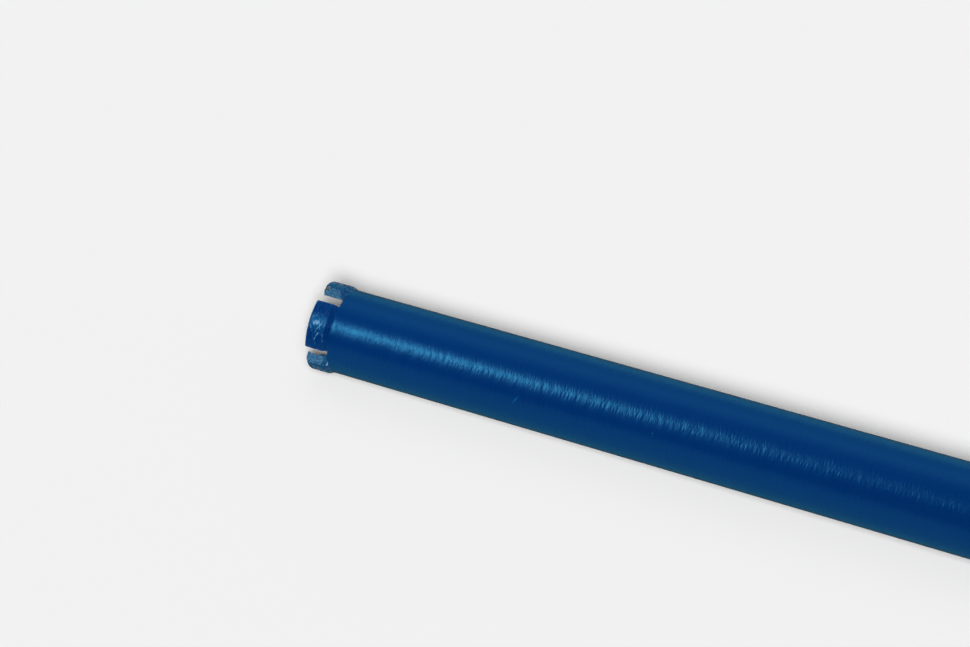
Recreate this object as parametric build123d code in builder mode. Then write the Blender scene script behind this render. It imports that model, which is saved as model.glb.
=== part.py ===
from build123d import *

import os
from math import cos, radians, sin, tan

# Diamond core bit with a threaded hub, for drilling round holes in concrete
# and masonry with water. A thin steel tube carries four diamond segments on
# its front rim. Its back end is pushed over a spigot on the hub and welded.
#
# Frame, in millimetres: the origin is the centre of the hub's mouth and the
# axis lies along X, with the crown of segments at -X. The bit is modelled
# lying down, with one flat of the hub's hexagon facing -Z and one gap
# between two segments below the axis.

# Whole bit
drilling_depth = 400.0  # from the crown's end to the shoulder of the hub

# Tube
tube_outer_d = 36.0
tube_wall = 2.5
rim_chamfer = 0.3
weld_bevel = 1.5  # weld preparation round the back end

# Diamond segments
segment_count = 4
segment_arc = 64.0  # degrees
segment_thickness = 4.5
segment_height = 10.7
segment_overhang = 1.0  # how far a segment stands out past the tube
first_segment_angle = 45.0  # degrees from +Y towards +Z
ridge_width = 2.1  # flat part of the end face, along its inner edge
end_slope = 1.1  # how far the outer edge of the end face is worn back
ridge_radius = 1.6
nose_radius = 0.9  # worn outer edge
lip_radius = 0.5  # worn inner edge
side_chamfer = 0.3
ramp_length = 2.1  # where a segment's outer side comes down to the tube
foot_chamfer = 0.6  # inner edge of the foot

# Hub
hex_flats = 41.0  # across flats
hex_length = 36.0
hex_chamfer_d = 40.0  # turned face inside the hexagon's corners
hex_chamfer_angle = 30.0  # degrees
collar_d = 40.0
collar_length = 6.0
collar_chamfer = 0.8
spigot_length = 12.0
spigot_clearance = 0.1  # between the spigot and the inside of the tube
spigot_lead = 1.2
thread_d = 31.8  # 1 1/4 inch, 7 turns to the inch, at its full diameter
thread_depth = 32.0  # from the mouth to the relief groove
mouth_chamfer = 1.5
relief_depth = 0.7
relief_width = 5.0
water_bore_d = 20.0
water_bore_chamfer = 1.0

# Weld between the tube and the hub
weld_leg = 3.4  # along the tube, from the shoulder
weld_rise = 1.6  # up the shoulder, from the tube
weld_crown = 0.35  # how far its face bulges

# Worked out from the sizes above
tube_outer_r = tube_outer_d / 2
tube_inner_r = tube_outer_r - tube_wall
segment_outer_r = tube_outer_r + segment_overhang
segment_inner_r = segment_outer_r - segment_thickness
spigot_r = tube_inner_r - spigot_clearance
thread_r = thread_d / 2
relief_r = thread_r + relief_depth
water_bore_r = water_bore_d / 2
shoulder_x = -(hex_length + collar_length)
spigot_end_x = shoulder_x - spigot_length
web_x = -(thread_depth + relief_width)
crown_x = shoulder_x - drilling_depth
rim_x = crown_x + segment_height

os.makedirs("parts", exist_ok=True)

# The tube: drawn steel, cut square, with a small chamfer on its front rim and
# a bevel round its back end that leaves room for the weld.
with BuildPart() as tube:
    with BuildSketch(Plane.YZ.offset(rim_x)):
        Circle(tube_outer_r)
        Circle(tube_inner_r, mode=Mode.SUBTRACT)
    extrude(amount=shoulder_x - rim_x)
    front_rim = tube.faces().sort_by(Axis.X)[0]
    chamfer(front_rim.edges(), length=rim_chamfer)
    back_rim = tube.faces().sort_by(Axis.X)[-1]
    chamfer(back_rim.edges().sort_by(SortBy.RADIUS)[-1], length=weld_bevel)
tube.part.label = "tube"
export_step(tube.part, "parts/tube.step")

# The diamond segments: sintered metal and diamond grit, pressed as curved
# blocks. Each one's section runs along the axis and out from it: a worn end
# face that slopes back to a rounded outer edge, parallel outer and inner
# sides, and a foot that stands on the tube's rim, where the outer side ramps
# down to the tube. The section is turned through the segment's arc. The sides
# face along radii, and the gaps between them let the water out.
for index in range(segment_count):
    name = f"segment_{index + 1}"
    start_angle = first_segment_angle + index * 360 / segment_count - segment_arc / 2
    start = radians(start_angle)
    section_plane = Plane(
        origin=(crown_x, 0, 0),
        x_dir=(1, 0, 0),
        z_dir=(0, -sin(start), cos(start)),
    )
    ramp_start = segment_height - ramp_length
    with BuildPart() as segment:
        with BuildSketch(section_plane) as section:
            with BuildLine():
                Polyline(
                    (0, segment_inner_r),
                    (0, segment_inner_r + ridge_width),
                    (end_slope, segment_outer_r),
                    (ramp_start, segment_outer_r),
                    (segment_height, tube_outer_r),
                    (segment_height, segment_inner_r + foot_chamfer),
                    (segment_height - foot_chamfer, segment_inner_r),
                    close=True,
                )
            make_face()
            end_face = section.vertices().group_by(Axis.X)[0]
            fillet(end_face.sort_by(Axis.Y)[0], radius=lip_radius)
            end_face = section.vertices().group_by(Axis.X)[0]
            fillet(end_face.sort_by(Axis.Y)[-1], radius=ridge_radius)
            outer_side = section.vertices().group_by(Axis.Y)[-1]
            fillet(outer_side.sort_by(Axis.X)[0], radius=nose_radius)
        revolve(axis=Axis.X, revolution_arc=segment_arc)
        sides = segment.faces().filter_by(GeomType.PLANE).filter_by(Axis.X, reverse=True)
        side_edges = sides.edges().filter_by(lambda edge: edge.center().X < rim_x - 0.001)
        chamfer(side_edges, length=side_chamfer)
    segment.part.label = name
    export_step(segment.part, f"parts/{name}.step")

# The hub: turned from hexagon bar. The hexagon takes a spanner, its corners
# are turned back at both ends, and the collar behind it is the shoulder that
# the tube stands against. The spigot fits inside the tube. The bore takes the
# drill's spindle and ends in a relief groove, and a smaller bore goes on
# through the spigot for the water.
with BuildPart() as hub:
    with BuildSketch(Plane.YZ.offset(-hex_length)):
        RegularPolygon(radius=hex_flats / 2, side_count=6, major_radius=False)
    extrude(amount=hex_length)
    corner_r = hex_flats / 2 / cos(radians(30))
    turned_r = hex_chamfer_d / 2
    turned_x = (corner_r - turned_r) * tan(radians(hex_chamfer_angle))
    with BuildSketch(Plane.XY):
        with BuildLine():
            Polyline(
                (0, 0),
                (0, turned_r),
                (-turned_x, corner_r),
                (turned_x - hex_length, corner_r),
                (-hex_length, turned_r),
                (-hex_length, 0),
                close=True,
            )
        make_face()
    revolve(axis=Axis.X, mode=Mode.INTERSECT)
    with BuildSketch(Plane.YZ.offset(shoulder_x)):
        Circle(collar_d / 2)
    extrude(amount=collar_length)
    shoulder = hub.faces().sort_by(Axis.X)[0]
    chamfer(shoulder.edges(), length=collar_chamfer)
    with BuildSketch(Plane.YZ.offset(spigot_end_x)):
        Circle(spigot_r)
    extrude(amount=spigot_length)
    spigot_end = hub.faces().sort_by(Axis.X)[0]
    chamfer(spigot_end.edges(), length=spigot_lead, length2=spigot_lead / 2)
    with BuildSketch(Plane.XY):
        with BuildLine():
            Polyline(
                (0, 0),
                (0, thread_r + mouth_chamfer),
                (-mouth_chamfer, thread_r),
                (-thread_depth, thread_r),
                (-thread_depth - relief_depth, relief_r),
                (web_x, relief_r),
                (web_x, water_bore_r + water_bore_chamfer),
                (web_x - water_bore_chamfer, water_bore_r),
                (spigot_end_x + water_bore_chamfer, water_bore_r),
                (spigot_end_x, water_bore_r + water_bore_chamfer),
                (spigot_end_x, 0),
                close=True,
            )
        make_face()
    revolve(axis=Axis.X, mode=Mode.SUBTRACT)
hub.part.label = "hub"
export_step(hub.part, "parts/hub.step")

# The weld: one bead round the joint. It fills the bevel at the tube's end,
# laps over onto the tube and rises up the collar's shoulder, and its face
# stands a little proud of a straight line between the two.
with BuildPart() as hub_weld:
    with BuildSketch(Plane.XY):
        with BuildLine():
            Polyline(
                (shoulder_x, tube_outer_r + weld_rise),
                (shoulder_x, tube_outer_r - weld_bevel),
                (shoulder_x - weld_bevel, tube_outer_r),
                (shoulder_x - weld_leg, tube_outer_r),
                (shoulder_x - weld_leg / 2, tube_outer_r + weld_rise / 2 + weld_crown),
                close=True,
            )
        make_face()
    revolve(axis=Axis.X)
hub_weld.part.label = "hub_weld"
export_step(hub_weld.part, "parts/hub_weld.step")
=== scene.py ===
from math import cos, pi, radians, sin, tan

import bmesh
import bpy
from mathutils import Matrix, Vector, noise


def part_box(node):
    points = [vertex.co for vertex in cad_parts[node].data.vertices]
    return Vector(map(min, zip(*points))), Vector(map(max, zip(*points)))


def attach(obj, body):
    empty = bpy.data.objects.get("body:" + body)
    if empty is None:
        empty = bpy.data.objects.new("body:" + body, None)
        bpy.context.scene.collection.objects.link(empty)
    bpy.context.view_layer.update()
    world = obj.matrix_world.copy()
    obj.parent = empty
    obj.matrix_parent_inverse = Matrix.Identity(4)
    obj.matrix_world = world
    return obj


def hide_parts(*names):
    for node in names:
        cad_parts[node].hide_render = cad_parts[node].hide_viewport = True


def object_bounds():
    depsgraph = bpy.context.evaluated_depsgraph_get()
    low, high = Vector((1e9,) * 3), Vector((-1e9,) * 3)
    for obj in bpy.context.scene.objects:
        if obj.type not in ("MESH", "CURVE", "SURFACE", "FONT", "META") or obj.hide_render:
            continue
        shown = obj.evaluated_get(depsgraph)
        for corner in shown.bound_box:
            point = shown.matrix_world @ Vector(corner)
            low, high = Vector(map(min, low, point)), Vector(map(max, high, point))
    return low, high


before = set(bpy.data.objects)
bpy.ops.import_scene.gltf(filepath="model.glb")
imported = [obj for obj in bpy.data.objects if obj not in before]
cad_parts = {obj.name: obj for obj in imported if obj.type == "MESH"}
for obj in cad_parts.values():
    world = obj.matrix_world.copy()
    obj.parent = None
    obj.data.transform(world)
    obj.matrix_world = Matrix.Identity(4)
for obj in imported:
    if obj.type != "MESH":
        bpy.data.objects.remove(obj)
cad_low, cad_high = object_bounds()


# The tube: thin drawn steel, turned down to a fine ring finish and sprayed metallic blue. Its front rim
# is cut square with a small chamfer, and its back end has the bevel that the weld fills.
tube_low, tube_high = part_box("tube")
tube_radius = tube_high.z
tube_wall = 0.0025
tube_bore_radius = tube_radius - tube_wall
rim_chamfer = 0.0003
weld_bevel = 0.0015
rim_x = tube_low.x
shoulder_x = tube_high.x
tube_steps = 256
sharp_angle = radians(25)
merge_distance = 1e-7


def turned(outline, steps):
    """A closed outline of (x, radius) points, turned round the axis."""
    bm = bmesh.new()
    ring = [bm.verts.new((x, radius, 0)) for x, radius in outline]
    edges = [bm.edges.new(pair) for pair in zip(ring, ring[1:] + ring[:1])]
    bmesh.ops.spin(
        bm, geom=ring + edges, cent=(0, 0, 0), axis=(1, 0, 0), angle=2 * pi, steps=steps, use_merge=True
    )
    bmesh.ops.remove_doubles(bm, verts=bm.verts, dist=merge_distance)
    bmesh.ops.recalc_face_normals(bm, faces=bm.faces)
    return bm


def finished(bm, name, material, slot, *nodes):
    """Makes a bmesh the object that stands for the named CAD nodes."""
    for face in bm.faces:
        face.smooth = True
    for edge in bm.edges:
        edge.smooth = edge.calc_face_angle(0) < sharp_angle
    mesh = bpy.data.meshes.new(name)
    bm.to_mesh(mesh)
    bm.free()
    mesh.materials.append(material)
    piece = bpy.data.objects.new(name, mesh)
    bpy.context.scene.collection.objects.link(piece)
    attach(piece, "root")
    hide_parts(*nodes)


def node(tree, kind, links=(), **values):
    """A shader node with its settings, its plain input values and its links."""
    made = tree.nodes.new(kind)
    for key, value in values.items():
        setattr(made, key, value)
    for socket, source in links:
        if hasattr(source, "is_linked"):
            tree.links.new(source, made.inputs[socket])
        else:
            made.inputs[socket].default_value = source
    return made


def combined(tree, first, second, operation="ADD"):
    """Two values or sockets put together by one Math node."""
    return node(tree, "ShaderNodeMath", [(0, first), (1, second)], operation=operation).outputs[0]


def spread(tree, source, low, high, at_low=0.0, at_high=1.0):
    """A value between low and high, stretched to run from at_low to at_high and held there."""
    links = [(0, source), (1, low), (2, high), (3, at_low), (4, at_high)]
    return node(tree, "ShaderNodeMapRange", links).outputs[0]


def blend_of(tree, share, first, second):
    """The first colour where the share is 0 and the second where it is 1."""
    links = [(0, share), (6, first), (7, second)]
    return node(tree, "ShaderNodeMix", links, data_type="RGBA").outputs[2]


def speckle(tree, scale, detail, roughness=0.5):
    """Plain noise in the space of the piece."""
    place = node(tree, "ShaderNodeTexCoord").outputs["Object"]
    links = [("Vector", place), ("Scale", scale), ("Detail", detail), ("Roughness", roughness)]
    return node(tree, "ShaderNodeTexNoise", links).outputs[0]


def new_material(name):
    """An empty material and its shader tree."""
    material = bpy.data.materials.new(name)
    material.use_nodes = True
    material.node_tree.nodes.clear()
    return material, material.node_tree


def streaks_group():
    """Two crossing sets of fine turned rings, broken up along their length. Height is their mean and
    Marks is the higher of the two."""
    tree = bpy.data.node_groups.new("turned streaks", "ShaderNodeTree")
    for name, default in (("Width", 0.5), ("Length", 4.0), ("Lean", 0.2)):
        socket = tree.interface.new_socket(name, in_out="INPUT", socket_type="NodeSocketFloat")
        socket.default_value = default
    for name in ("Height", "Marks"):
        tree.interface.new_socket(name, in_out="OUTPUT", socket_type="NodeSocketFloat")
    sizes = node(tree, "NodeGroupInput").outputs
    place = node(tree, "ShaderNodeTexCoord")
    split = node(tree, "ShaderNodeSeparateXYZ", [(0, place.outputs["Object"])]).outputs
    rings = []
    for side in (1, -1):
        lean = combined(tree, sizes["Lean"], side, "MULTIPLY")
        across = combined(tree, split["Y"], split["Z"])
        shear = node(
            tree, "ShaderNodeMath", [(0, across), (1, lean), (2, split["X"])], operation="MULTIPLY_ADD"
        ).outputs[0]
        along = combined(tree, shear, sizes["Width"], "DIVIDE")
        flat = [combined(tree, split[axis], sizes["Length"], "DIVIDE") for axis in "YZ"]
        vector = node(tree, "ShaderNodeCombineXYZ", [(0, along), (1, flat[0]), (2, flat[1])])
        links = [("Vector", vector.outputs[0]), ("Scale", 1.0), ("Detail", 2.0), ("Roughness", 0.55)]
        rings.append(node(tree, "ShaderNodeTexNoise", links).outputs[0])
    total = combined(tree, *rings)
    half = combined(tree, total, 0.5, "MULTIPLY")
    marks = combined(tree, *rings, "MAXIMUM")
    node(tree, "NodeGroupOutput", [(0, half), (1, marks)])
    return tree


streaks = streaks_group()
deep_blue = (0.0, 0.0440, 0.2330, 1)
deep_blue_shade = (0.0, 0.0406, 0.2150, 1)
scraped_blue = (0.09, 0.28, 0.50, 1)
lacquer_weight = 0.92
lacquer_tint = (0.0, 0.74, 0.78, 1)  # lets no red through
lacquer_roughness = 0.28
paint_shine = (0.95, 0.63, 0.98, 1)


def turned_rings(tree, width, length, lean):
    """The group of turned streaks, with one paint's own sizes."""
    rings = node(tree, "ShaderNodeGroup", node_tree=streaks)
    for name, value in (("Width", width), ("Length", length), ("Lean", lean)):
        rings.inputs[name].default_value = value
    return rings.outputs


def nick_mask(tree, start, end, width):
    """Strongest on a short straight nick in the paint, from its two ends on the surface."""
    core, rim, strength, depth = 0.4, 1.4, 0.45, 0.001
    start, end = Vector(start), Vector(end)
    middle = (start + end) / 2
    along = (end - start).normalized()
    out = Vector((0, middle.y, middle.z)).normalized()
    nick_turn = Matrix((along, out.cross(along), out)).transposed().to_euler()
    place = node(tree, "ShaderNodeTexCoord")
    spot = node(
        tree, "ShaderNodeMapping",
        [
            ("Vector", place.outputs["Object"]), ("Location", middle), ("Rotation", nick_turn),
            ("Scale", ((end - start).length / 2, width / 2, depth)),
        ],
        vector_type="TEXTURE"
    )
    reach = node(tree, "ShaderNodeVectorMath", [(0, spot.outputs[0])], operation="LENGTH")
    return spread(tree, reach.outputs["Value"], core, rim, strength, 0.0)


def painted(name, width, length, lean, height, nicks=()):
    """Metallic paint sprayed over turned steel: a deep blue under a lacquer that lets no red through."""
    material, tree = new_material(name)
    rings = turned_rings(tree, width, length, lean)
    colour = blend_of(tree, speckle(tree, scale=45.0, detail=4.0), deep_blue_shade, deep_blue)
    for start, end, nick_width in nicks:
        colour = blend_of(tree, nick_mask(tree, start, end, nick_width), colour, scraped_blue)
    gloss = spread(tree, rings["Height"], 0.3, 0.7, 0.26, 0.35)
    bump = node(
        tree, "ShaderNodeBump", [("Height", rings["Height"]), ("Strength", 1.0), ("Distance", height)]
    )
    surface = node(
        tree, "ShaderNodeBsdfPrincipled",
        [
            ("Base Color", colour), ("Roughness", gloss), ("Normal", bump.outputs[0]),
            ("Specular Tint", paint_shine), ("Coat Weight", lacquer_weight), ("Coat IOR", 1.0),
            ("Coat Tint", lacquer_tint), ("Coat Roughness", lacquer_roughness),
        ]
    )
    node(tree, "ShaderNodeOutputMaterial", [(0, surface.outputs[0])])
    return material


# Two small nicks in the paint, each from end to end and with its width.
tube_nicks = [
    ((-0.3490, -0.0172, 0.0053), (-0.3469, -0.0160, 0.0083), 0.0005),
    ((-0.2911, -0.0156, 0.0089), (-0.2905, -0.0156, 0.0090), 0.0008),
]
tube_paint = painted("tube paint", width=0.0012, length=0.006, lean=0.14, height=0.00027, nicks=tube_nicks)
bm = turned(
    [
        (rim_x, tube_bore_radius + rim_chamfer),
        (rim_x, tube_radius - rim_chamfer),
        (rim_x + rim_chamfer, tube_radius),
        (shoulder_x - weld_bevel, tube_radius),
        (shoulder_x, tube_radius - weld_bevel),
        (shoulder_x, tube_bore_radius),
        (rim_x + rim_chamfer, tube_bore_radius),
    ],
    tube_steps
)
finished(bm, "tube_body", tube_paint, "tube_paint", "tube")


# The diamond segments: bronze and steel powder sintered round diamond grit, pressed to a curve and laser
# welded to the tube's rim. The last three millimetres are a smooth layer with no grit in it, the rest is
# rough, and the ends are worn back from use. The blue paint went over all four.
segment_outer_r = 0.019
segment_inner_r = 0.0145
segment_thickness = segment_outer_r - segment_inner_r
segment_height = rim_x - cad_low.x
half_arc = radians(32)
ridge_width = 0.0021  # the flat ridge along the end face's inner edge
ridge_share = ridge_width / segment_thickness
ramp_length = 0.0021
ramp_start = segment_height - ramp_length
foot_chamfer = 0.0006
seam_proud = 0.00003
seam_r = tube_radius + seam_proud
seam_lap = 0.0004
seam_lap_share = 0.85
segment_cuts = (58, 24, 104)  # along the axis, through the thickness and round the arc
edge_passes = 3
worn_rows = 3  # of vertices on each side of the worn edge
scratch_zone_height, scratch_zone_reach = 0.0045, 0.0065  # where the outer side's real scratches are painted lighter as a highlight, from the end face
grit_height, grit_fade = 0.0074, 0.0006  # farther than this from the end face there is no grit
paint_level, paint_grain, seam_ripple = -0.000012, 0.000010, 0.00005
grit_level, grit_grain, grit_lump = -0.00006, 0.000075, 0.000060
wear_depth, wear_height, wear_reach, wear_width, wear_bias = 0.00016, 0.0006, 0.0022, 0.0016, 0.25
chip_ragged, chip_grain, chip_bare = 0.35, 0.6, 1.2
# Painted highlight strips: lines on a side face painted lighter, standing in for light caught at the edge.
highlight_strip_half, highlight_strip_reach, highlight_strip_strength = 0.03, 0.0006, 3
foot_reach, seam_reach = 0.0004, 0.0008
faint_rough = 0.45  # what is left of the rough look on the layer with no grit
grain_scale, lump_scale, wear_scale, chip_scale = 1500, 420, 600, 900  # cells of noise to the metre


def segment_form(along, across, end_slope):
    """Where a point of the section stands along the axis from the end face and out from the axis."""
    drop = end_slope * max(0, (across - ridge_share) / (1 - ridge_share))
    lap = seam_lap * max(0, (across - seam_lap_share) / (1 - seam_lap_share))
    x = drop + along * (segment_height + lap - drop)
    ramp = min(max((x - ramp_start) / (segment_height - ramp_start), 0), 1)
    foot = min(max((x - segment_height + foot_chamfer) / foot_chamfer, 0), 1)
    outer = segment_outer_r + ramp * (seam_r - segment_outer_r)
    inner = segment_inner_r + foot * foot_chamfer
    return x, inner + across * (outer - inner)


def near(value, goal, reach):
    """1 at the goal, falling smoothly to 0 at the reach."""
    share = max(0, 1 - abs(value - goal) / reach)
    return share * share * (3 - 2 * share)


def apart(first, second):
    """How far apart two points of a segment are, each as (arc share, height, radius)."""
    sideways = (first[0] - second[0]) * half_arc * first[2]
    return Vector((sideways, first[1] - second[1], first[2] - second[2])).length


def softened(bm, verts, passes):
    """Rounds the edges that the given vertices lie on."""
    for _ in range(passes):
        bmesh.ops.smooth_vert(bm, verts=verts, factor=0.5, use_axis_x=True, use_axis_y=True, use_axis_z=True)


def segment_mesh(centre, shift, end_slope, rounding, grit, chips, lumps, highlight_strips):
    """One segment about its own angle. Chips and lumps are (arc share, height, radius, reach, depth), and
    highlight strips, lines painted lighter as a highlight, are (arc share, height)."""
    bm = bmesh.new()
    bmesh.ops.create_cube(bm, size=2)
    for axis, cuts in enumerate(segment_cuts):
        lengthwise = [e for e in bm.edges if abs(e.verts[0].co[axis] - e.verts[1].co[axis]) > 1e-6]
        bmesh.ops.subdivide_edges(bm, edges=lengthwise, cuts=cuts, use_grid_fill=True)
    bare = bm.verts.layers.float.new("bare")
    rough = bm.verts.layers.float.new("rough")
    scratches_and_highlights = bm.verts.layers.float.new("scratches_and_highlights")
    edges = []
    worn = set()
    for vert in bm.verts:
        along, across, turn = vert.co.x / 2 + 0.5, vert.co.y / 2 + 0.5, vert.co.z
        x, radius = segment_form(along, across, end_slope)
        angle = centre + turn * half_arc
        on_side = abs(turn) > 0.999
        on_end = along < 0.001
        on_outside = across > 0.999
        on_skin = across < 0.001 or on_outside
        if (on_side + on_end + on_skin) > 1 and along < 0.999:
            edges.append(vert)
        if on_end and on_outside:
            worn.add(vert)
        vert[rough] = 1.0 if (on_side or on_end) else 0.0
        # A band across the middle of the outer side where the real scratches are painted lighter: a painted
        # highlight.
        vert[scratches_and_highlights] = near(turn, 0, 1.0) * near(x, scratch_zone_height, scratch_zone_reach) if on_outside else 0.0
        vert.co = Vector((cad_low.x + x, radius * cos(angle), radius * sin(angle)))
    # The worn outer edge of the end face is rounded most, the other edges only a little.
    for _ in range(worn_rows):
        worn |= {edge.other_vert(vert) for vert in worn for edge in vert.link_edges}
    softened(bm, list(worn), rounding)
    softened(bm, edges, edge_passes)
    bm.normal_update()
    for vert in bm.verts:
        place = vert.co
        height = place.x - cad_low.x
        section = Vector((place.y, place.z))
        radius = section.length
        turn = section.angle_signed(Vector((cos(centre), sin(centre)))) / half_arc
        spot = place + shift
        grain = noise.fractal(spot * grain_scale, 0.8, 2.1, 4)
        lump = noise.noise(spot * lump_scale)
        gritty = vert[rough] * near(max(height, grit_height), grit_height, grit_fade)
        vert[rough] = faint_rough * vert[rough] + (1 - faint_rough) * gritty
        foot = near(min(height, ramp_start), ramp_start, foot_reach)
        seam = near(height, segment_height, seam_reach)
        move = paint_level + paint_grain * grain + seam * seam_ripple * lump
        move += gritty * grit * (grit_level + grit_grain * grain + grit_lump * lump) * (1 - foot)
        wear = near(height, wear_height, wear_reach) * near(radius, segment_outer_r, wear_width)
        move -= wear * grit * wear_depth * max(0, noise.noise(spot * wear_scale) + wear_bias)
        for *chip, reach, depth in chips:
            ragged = reach * (1 + chip_ragged * noise.noise(spot * chip_scale))
            bite = near(apart((turn, height, radius), chip), 0, ragged)
            move -= bite * depth * (1 + chip_grain * grain)
            vert[bare] = min(1, vert[bare] + bite * chip_bare)
        for *lump_place, reach, depth in lumps:
            move += near(apart((turn, height, radius), lump_place), 0, reach) * depth
        # The highlight strips: painted highlights, lines across the side face made lighter in the scratch
        # highlight colour.
        for share, highlight_strip_height in highlight_strips:
            if abs(turn - share) < highlight_strip_half:
                vert[scratches_and_highlights] += highlight_strip_strength * near(height, highlight_strip_height, highlight_strip_reach)
        vert.co = place + vert.normal * move
        vert.co.x = max(vert.co.x, cad_low.x)
    bmesh.ops.recalc_face_normals(bm, faces=bm.faces)
    return bm


def segment_paint():
    """Thin blue paint on sintered metal, with bronze and grit where it has chipped away, and scratches and
    strips painted lighter as highlights.
    """
    smooth_blue = (0.0, 0.0425, 0.2240, 1)
    rough_blues = (0.028, 0.100, 0.280, 1), (0.22, 0.43, 0.68, 1)
    bare_metals = (0.077, 0.088, 0.088, 1), (0.44, 0.44, 0.33, 1)
    # The scratches' light colour is a painted highlight laid on real scratches.
    scratch_highlight_blue = (0.26, 0.54, 0.84, 1)
    segment_shine = (0.80, 0.63, 0.98, 1)
    scratch_share, rough_height, rough_thinning = 0.16, 0.00032, 0.5
    material, tree = new_material("segment paint")
    rings = turned_rings(tree, width=0.0006, length=0.0030, lean=0.22)
    coarse, chipped, scratches_and_highlights = [
        node(tree, "ShaderNodeAttribute", attribute_name=name).outputs["Fac"]
        for name in ("rough", "bare", "scratches_and_highlights")
    ]
    grain = speckle(tree, scale=2600.0, detail=3.0, roughness=0.6)
    mottle = speckle(tree, scale=1100.0, detail=3.0, roughness=0.6)
    patch = spread(tree, mottle, 0.35, 0.68)
    blue = blend_of(tree, coarse, smooth_blue, blend_of(tree, patch, *rough_blues))
    open_metal = spread(tree, combined(tree, chipped, mottle), 1.0, 1.6, 0.0, 0.9)
    # Real scratches painted lighter as a highlight, and the painted highlight strips, both in the scratch
    # highlight colour.
    depth = node(
        tree, "ShaderNodeMath", [(0, scratches_and_highlights), (1, scratch_share), (2, rings["Marks"])], operation="MULTIPLY_ADD"
    ).outputs[0]
    scratch_highlights = spread(tree, depth, 0.69, 0.88)
    scratch_highlighted = blend_of(tree, scratch_highlights, blue, scratch_highlight_blue)
    colour = blend_of(tree, open_metal, scratch_highlighted, blend_of(tree, patch, *bare_metals))
    height = combined(tree, rings["Height"], combined(tree, grain, coarse, "MULTIPLY"))
    bump = node(tree, "ShaderNodeBump", [("Height", height), ("Strength", 1.0), ("Distance", rough_height)])
    gloss = spread(tree, coarse, 0.0, 1.0, 0.28, 0.5)
    shine = spread(tree, open_metal, 0.0, 1.0, 0.0, 0.8)
    # The lacquer is thin on the flecks, on the scratches and strips painted lighter as highlights, and on
    # the rough faces, and gone on the open metal.
    flecks = spread(tree, rings["Marks"], 0.50, 0.64, 0.03, 0.35)
    thin = combined(tree, flecks, scratch_highlights, "MAXIMUM")
    thin = combined(tree, thin, combined(tree, coarse, rough_thinning, "MULTIPLY"), "MAXIMUM")
    thin = combined(tree, open_metal, thin, "MAXIMUM")
    lacquer = spread(tree, thin, 0.0, 1.0, 1.0, 0.0)
    surface = node(
        tree, "ShaderNodeBsdfPrincipled",
        [
            ("Base Color", colour), ("Roughness", gloss), ("Normal", bump.outputs[0]), ("Metallic", shine),
            ("Specular Tint", segment_shine), ("Coat Weight", lacquer), ("Coat IOR", 1.0),
            ("Coat Tint", lacquer_tint), ("Coat Roughness", lacquer_roughness),
        ]
    )
    node(tree, "ShaderNodeOutputMaterial", [(0, surface.outputs[0])])
    return material


diamond_segment = segment_paint()
# For each segment: its angle, how far its end is worn back, the rounding of the worn edge, how rough the
# grit is, and its chips, lumps and painted highlight strips.
segment_wear = {
    "segment_1": (
        45, 0.0003, 3, 1.0,
        [(1.0, 0.0002, 0.0190, 0.0022, 0.0008), (1.0, 0.0020, 0.0182, 0.0026, 0.0001)], [], []
    ),
    "segment_2": (135, 0.0011, 9, 0.4, [(-1.0, 0.0004, 0.0186, 0.0010, 0.0002)], [], []),
    "segment_3": (
        225, 0.0011, 12, 1.0,
        [(-1.0, 0.0008, 0.0190, 0.0016, 0.0003)], [(-1.0, 0.0004, 0.0148, 0.0010, 0.0006)], [(-1.0, 0.0101)]
    ),
    "segment_4": (
        315, 0.0009, 9, 1.0,
        [(1.0, 0.0005, 0.0190, 0.0013, 0.0003), (-1.0, 0.0002, 0.0147, 0.0026, 0.0006)], [], []
    ),
}
for index, (name, (angle, *wear)) in enumerate(segment_wear.items()):
    shift = Vector((0.05 * index, 0.03, -0.02 * index))  # moves each segment's grit off its neighbour's
    bm = segment_mesh(radians(angle), shift, *wear)
    finished(bm, "crown_" + name, diamond_segment, "diamond_segment", name)


# The hub: turned from hexagon bar, with rolled corners, a turned collar behind the hexagon and a spigot
# inside the tube. The outside was sprayed with the tube, and the bore and its thread were left as cut,
# oiled steel.
hub_low, hub_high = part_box("hub")
hex_apart = hub_high.z
hex_corner_r = 0.0235
hex_length = 0.036
hex_end_x = hub_high.x - hex_length
hex_turned_r = 0.020
hex_turned_x = (hex_corner_r - hex_turned_r) * tan(radians(30))
hex_step = 0.0003
hub_steps = 192
collar_r = 0.020
collar_chamfer = 0.0008
spigot_clearance = 0.0001
spigot_r = tube_bore_radius - spigot_clearance
spigot_lead = 0.0012
spigot_lead_drop = 0.0006
thread_r = 0.0159
thread_start_x = -0.032
mouth_chamfer = 0.0015
relief_r = 0.0166
relief_start_x = -0.037
relief_end_x = -0.0327
water_r = 0.010
water_chamfer = 0.001
outside = [
    (hub_high.x, hex_turned_r - hex_step),
    (hub_high.x - hex_turned_x, hex_corner_r),
    (hex_end_x + hex_turned_x, hex_corner_r),
    (hex_end_x, hex_turned_r + hex_step),
    (hex_end_x - hex_step, collar_r),
    (shoulder_x + collar_chamfer, collar_r),
    (shoulder_x, collar_r - collar_chamfer),
    (shoulder_x, spigot_r),
    (hub_low.x + spigot_lead, spigot_r),
    (hub_low.x, spigot_r - spigot_lead_drop),
]
inside = [
    (hub_low.x, water_r + water_chamfer),
    (hub_low.x + water_chamfer, water_r),
    (relief_start_x - water_chamfer, water_r),
    (relief_start_x, water_r + water_chamfer),
    (relief_start_x, relief_r),
    (relief_end_x, relief_r),
    (thread_start_x, thread_r),
    (-mouth_chamfer, thread_r),
    (0, thread_r + mouth_chamfer),
]
bm = turned(outside + inside, hub_steps)
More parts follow.
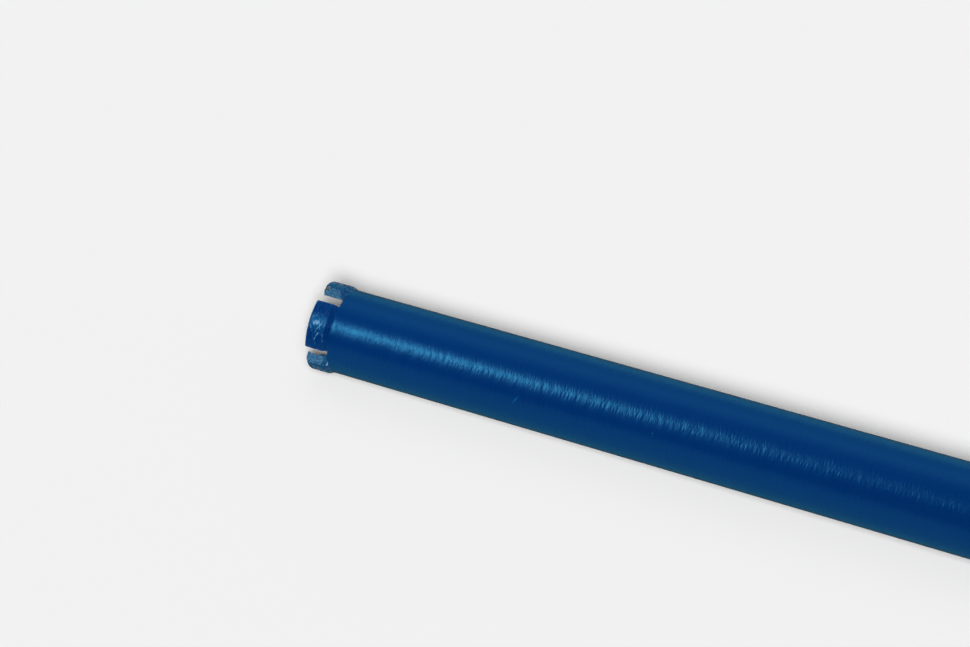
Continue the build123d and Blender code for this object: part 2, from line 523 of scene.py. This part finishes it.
for index in range(6):
    flat_angle = radians(30 + 60 * index)
    facing = Vector((0, cos(flat_angle), sin(flat_angle)))
    cut = bmesh.ops.bisect_plane(
        bm, geom=bm.verts[:] + bm.edges[:] + bm.faces[:], dist=merge_distance, plane_co=facing * hex_apart,
        plane_no=facing, clear_outer=True
    )
    rim = [part for part in cut["geom_cut"] if isinstance(part, bmesh.types.BMEdge)]
    bmesh.ops.contextual_create(bm, geom=rim)
bmesh.ops.recalc_face_normals(bm, faces=bm.faces)
unpainted_r = 0.0171
unpainted_x = -0.0375
bare = bm.verts.layers.float.new("bare")
for vert in bm.verts:
    out = Vector((vert.co.y, vert.co.z)).length
    if out < unpainted_r and vert.co.x > unpainted_x:
        vert[bare] = 1.0

# The thread: a ridge left by the tap, seven turns to the inch, right-handed, on the wall of the bore. Its
# flanks stand at sixty degrees, its crest is narrow and flat, and it dies away in the mouth's chamfer.
pitch = 0.0254 / 7
ridge_minor_r = 0.01391
ridge_base = 0.003175
ridge_crest = 0.000907
ridge_end_x = -0.0335
ridge_turns = 9.3
ridge_steps_per_turn = 96
ridge_sunk = 0.0002  # how deep its root stands in the wall
ridge_root_r = thread_r + ridge_sunk
ridge_mouth_x = -0.0002
mouth_gap = 0.00006  # between the ridge's end and the mouth's chamfer
mouth_reach = 0.004
ridge = [
    (-ridge_base / 2, ridge_root_r),
    (-ridge_crest / 2, ridge_minor_r),
    (ridge_crest / 2, ridge_minor_r),
    (ridge_base / 2, ridge_root_r),
]
screw = bmesh.new()
ring = [screw.verts.new((ridge_end_x + x, radius, 0)) for x, radius in ridge]
face = screw.faces.new(ring)
screw.faces.new([screw.verts.new(vert.co) for vert in ring])  # closes the end that the sweep leaves
ridge_steps = round(ridge_turns * ridge_steps_per_turn)
bmesh.ops.spin(
    screw, geom=[face] + list(face.edges) + ring, cent=(0, 0, 0), axis=(1, 0, 0),
    dvec=(pitch / ridge_steps_per_turn, 0, 0), angle=ridge_turns * 2 * pi, steps=ridge_steps
)
bmesh.ops.remove_doubles(screw, verts=screw.verts, dist=merge_distance)
for vert in screw.verts:
    out = Vector((vert.co.y, vert.co.z)).length
    least = thread_r + mouth_chamfer + mouth_gap + vert.co.x
    if out < least and vert.co.x > -mouth_reach:
        vert.co.y *= least / out
        vert.co.z *= least / out
    vert.co.x = min(vert.co.x, ridge_mouth_x)
bmesh.ops.recalc_face_normals(screw, faces=screw.faces)
screw_bare = screw.verts.layers.float.new("bare")
for vert in screw.verts:
    vert[screw_bare] = 1.0
thread_mesh = bpy.data.meshes.new("thread")
screw.to_mesh(thread_mesh)
screw.free()
bm.from_mesh(thread_mesh)
bpy.data.meshes.remove(thread_mesh)

# The hub's paint stops at a ragged edge in the mouth, and behind it is stained, oiled steel.
stained_steels = (0.13, 0.115, 0.10, 1), (0.42, 0.40, 0.37, 1)
steel_shine = (0.66, 0.63, 0.75, 1)
hub_paint = painted("hub paint", width=0.0006, length=0.006, lean=0.05, height=0.00002)
tree = hub_paint.node_tree
surface = tree.nodes["Principled BSDF"]
blue_paint = surface.inputs["Base Color"].links[0].from_socket
paint_gloss = surface.inputs["Roughness"].links[0].from_socket
stain = speckle(tree, scale=300.0, detail=5.0)
inside_mark = node(tree, "ShaderNodeAttribute", attribute_name="bare")
paint_edge = node(
    tree, "ShaderNodeMath", [(0, stain), (1, 0.3), (2, inside_mark.outputs["Fac"])], operation="MULTIPLY_ADD"
)
cut_steel = spread(tree, paint_edge.outputs[0], 0.97, 1.0)
colour = blend_of(tree, cut_steel, blue_paint, blend_of(tree, stain, *stained_steels))
oiled = spread(tree, stain, 0.3, 0.7, 0.22, 0.42)
gloss = node(tree, "ShaderNodeMix", [(0, cut_steel), (2, paint_gloss), (3, oiled)]).outputs[0]
lacquer = spread(tree, cut_steel, 0.0, 1.0, lacquer_weight, 0.0)
surface.inputs["Specular Tint"].default_value = steel_shine
for socket, source in (
    ("Base Color", colour), ("Metallic", cut_steel), ("Roughness", gloss), ("Coat Weight", lacquer)
):
    tree.links.new(source, surface.inputs[socket])
finished(bm, "hub_body", hub_paint, "hub_paint", "hub")


# The weld: one bead laid round the joint, with the ripples the torch left, painted over with the rest.
weld_leg = 0.0034
weld_rise = 0.0016
weld_crown = 0.0003
weld_steps = 480
weld_points = 18
weld_ripples = 76
ripple_lag = 2.6  # how far the middle of a ripple trails its ends
ripple_height = 0.00007
ripple_waver, waver_scale = 0.5, 400
bead_lumps, bead_lump_scale = 0.00008, 250
bead_sink = 0.00004
bead_foot = 0.00002  # nearer to the tube than this the bead stays plain
bead = []
for index in range(weld_points + 1):
    share = index / weld_points
    swell = weld_crown * sin(pi * share)
    slope = Vector((weld_leg, weld_rise)).normalized()
    bead.append(
        (
            shoulder_x - weld_leg * share + swell * -slope.y,
            tube_radius + weld_rise * (1 - share) + swell * slope.x,
        )
    )
bead += [(shoulder_x - weld_bevel, tube_radius), (shoulder_x, tube_radius - weld_bevel)]
bm = turned(bead, weld_steps)
bm.normal_update()
for vert in bm.verts:
    section = Vector((vert.co.y, vert.co.z))
    if section.length > tube_radius + bead_foot:
        share = (shoulder_x - vert.co.x) / weld_leg
        proud = min(1, max(0, sin(pi * min(max(share, 0), 1))))
        angle = section.angle_signed(Vector((1, 0)))
        waver = ripple_waver * noise.noise(vert.co * waver_scale)
        wave = sin(angle * weld_ripples + ripple_lag * proud + waver)
        lump = noise.noise(vert.co * bead_lump_scale)
        vert.co += vert.normal * (proud * (ripple_height * wave + bead_lumps * lump - bead_sink))
weld_paint = painted("weld paint", width=0.0005, length=0.002, lean=0.0, height=0.00001)
finished(bm, "weld_bead", weld_paint, "weld_paint", "hub_weld")


# The floor: a plain pale sheet of paper, laid flat. It touches the hub's lowest flat and the crown's two
# lowest corners, so it rises a little from the hub to the crown.
floor_half = 6.0
floor_grey = 0.1
hub_foot = Vector((hex_end_x, 0, hub_low.z))
crown_wear = 0.004
crown_corner_z = -0.01851
crown_foot = Vector((cad_low.x + crown_wear, 0, crown_corner_z))
bm = bmesh.new()
bmesh.ops.create_grid(bm, x_segments=1, y_segments=1, size=floor_half)
rise = (crown_foot.z - hub_foot.z) / (crown_foot.x - hub_foot.x)
for vert in bm.verts:
    vert.co.z = hub_foot.z + rise * (vert.co.x - hub_foot.x)
mesh = bpy.data.meshes.new("floor")
bm.to_mesh(mesh)
bm.free()
floor = bpy.data.objects.new("floor", mesh)
bpy.context.scene.collection.objects.link(floor)
floor_material = bpy.data.materials.new("floor")
floor_material.use_nodes = True
floor_shader = floor_material.node_tree.nodes["Principled BSDF"]
floor_shader.inputs["Base Color"].default_value = (floor_grey, floor_grey, floor_grey, 1)
floor_shader.inputs["Roughness"].default_value = 1.0
floor_shader.inputs["Specular IOR Level"].default_value = 0.0
mesh.materials.append(floor_material)


# The lights: a studio with a bright panel high behind the bit and a dark front. A soft box in front and to
# the left and a long strip draw the bright line along the bit and light nothing else, and three broad
# lamps light the floor alone.
sky_strength = 1.42
sky_levels = (0.0, 0.009, 0.015, 0.16, 1.0, 0.4, 0.0)  # from the front horizon over the top to the back
world = bpy.data.worlds.new("studio")
bpy.context.scene.world = world
world.use_nodes = True
sky = world.node_tree
sky_place = node(sky, "ShaderNodeTexCoord")
sky_split = node(sky, "ShaderNodeSeparateXYZ", [(0, sky_place.outputs["Generated"])])
sky_front = combined(sky, sky_split.outputs["Y"], -1.0, "MULTIPLY")
sky_turn = combined(sky, sky_split.outputs["Z"], sky_front, "ARCTAN2")
sky_ramp = node(sky, "ShaderNodeValToRGB", [(0, combined(sky, sky_turn, pi, "DIVIDE"))])
last_level = len(sky_levels) - 1
for index, level in enumerate(sky_levels):
    if index in (0, last_level):
        stop = sky_ramp.color_ramp.elements[index // last_level]
    else:
        stop = sky_ramp.color_ramp.elements.new(index / last_level)
    stop.color = (level, level, level, 1)
sky.links.new(sky_ramp.outputs[0], sky.nodes["Background"].inputs[0])
sky.nodes["Background"].inputs[1].default_value = sky_strength


def hung(light, direction, target=(0, 0, 0), distance=0):
    """The lamp, hung in the given direction from its target and turned to face it."""
    lamp = bpy.data.objects.new(light.name, light)
    back = Vector(direction).normalized()
    lamp.location = Vector(target) + back * distance
    lamp.rotation_euler = back.to_track_quat("Z", "Y").to_euler()
    bpy.context.scene.collection.objects.link(lamp)
    return lamp


box_distance = 1.6
bit_middle = (-0.30, 0, 0)


def soft_box(name, direction, size, power):
    """A lamp behind a flat cloth, of the given length and width."""
    light = bpy.data.lights.new(name, "AREA")
    light.shape = "RECTANGLE"
    light.size, light.size_y = size
    light.energy = power
    return hung(light, direction, bit_middle, box_distance)


def broad_lamp(name, direction, angle, strength):
    """Even light from far off, spread over an angle."""
    light = bpy.data.lights.new(name, "SUN")
    light.angle = radians(angle)
    light.energy = strength
    return hung(light, direction)


def lights_only(name, lamps, pieces):
    """Keeps the lamps' light to the given pieces."""
    lit = bpy.data.collections.new(name)
    for piece in pieces:
        lit.objects.link(piece)
    for lamp in lamps:
        lamp.light_linking.receiver_collection = lit


bit_lamps = [
    soft_box("key", (-0.40, -0.571, 0.717), (0.36, 0.50), 13.4),
    soft_box("strip", (0.0, -0.623, 0.782), (1.8, 0.30), 1.5),
]
floor_lamps = [
    broad_lamp("paper low", (0.33, -0.70, 0.62), 10.5, 22.2),
    broad_lamp("paper high", (0.30, -0.60, 0.74), 21.0, 15.2),
    broad_lamp("paper fill", (0.0, 0.0, 1.0), 60.0, 1.1),
]
lights_only("paper", floor_lamps, [floor])
meshes = [piece for piece in bpy.context.scene.collection.objects if piece.type == "MESH"]
lights_only("bit", bit_lamps, [piece for piece in meshes if piece is not floor])


# The camera: a long lens in front and above. It stands to the right of square on, so that the bit comes
# nearer from the crown, left of the middle, to where the tube runs out at the right.
image_width = 970
focal_length_in_pixels = 1800
sensor_width = 36.0
camera_azimuth = radians(22.06)
camera_elevation = radians(43.54)
crown_in_view = Vector((-0.06810, -0.00066, -0.76208))  # right, up and back from the lens
crown_centre = Vector((cad_low.x + 0.00073, 0, 0))
camera_data = bpy.data.cameras.new("camera")
camera_data.sensor_width = sensor_width
camera_data.lens = focal_length_in_pixels / image_width * sensor_width
camera = bpy.data.objects.new("camera", camera_data)
turn = Matrix.Rotation(camera_azimuth, 3, "Z") @ Matrix.Rotation(pi / 2 - camera_elevation, 3, "X")
camera.rotation_euler = turn.to_euler()
camera.location = crown_centre - turn @ crown_in_view
bpy.context.scene.collection.objects.link(camera)
bpy.context.scene.camera = camera
bpy.context.scene.view_settings.view_transform = "Standard"
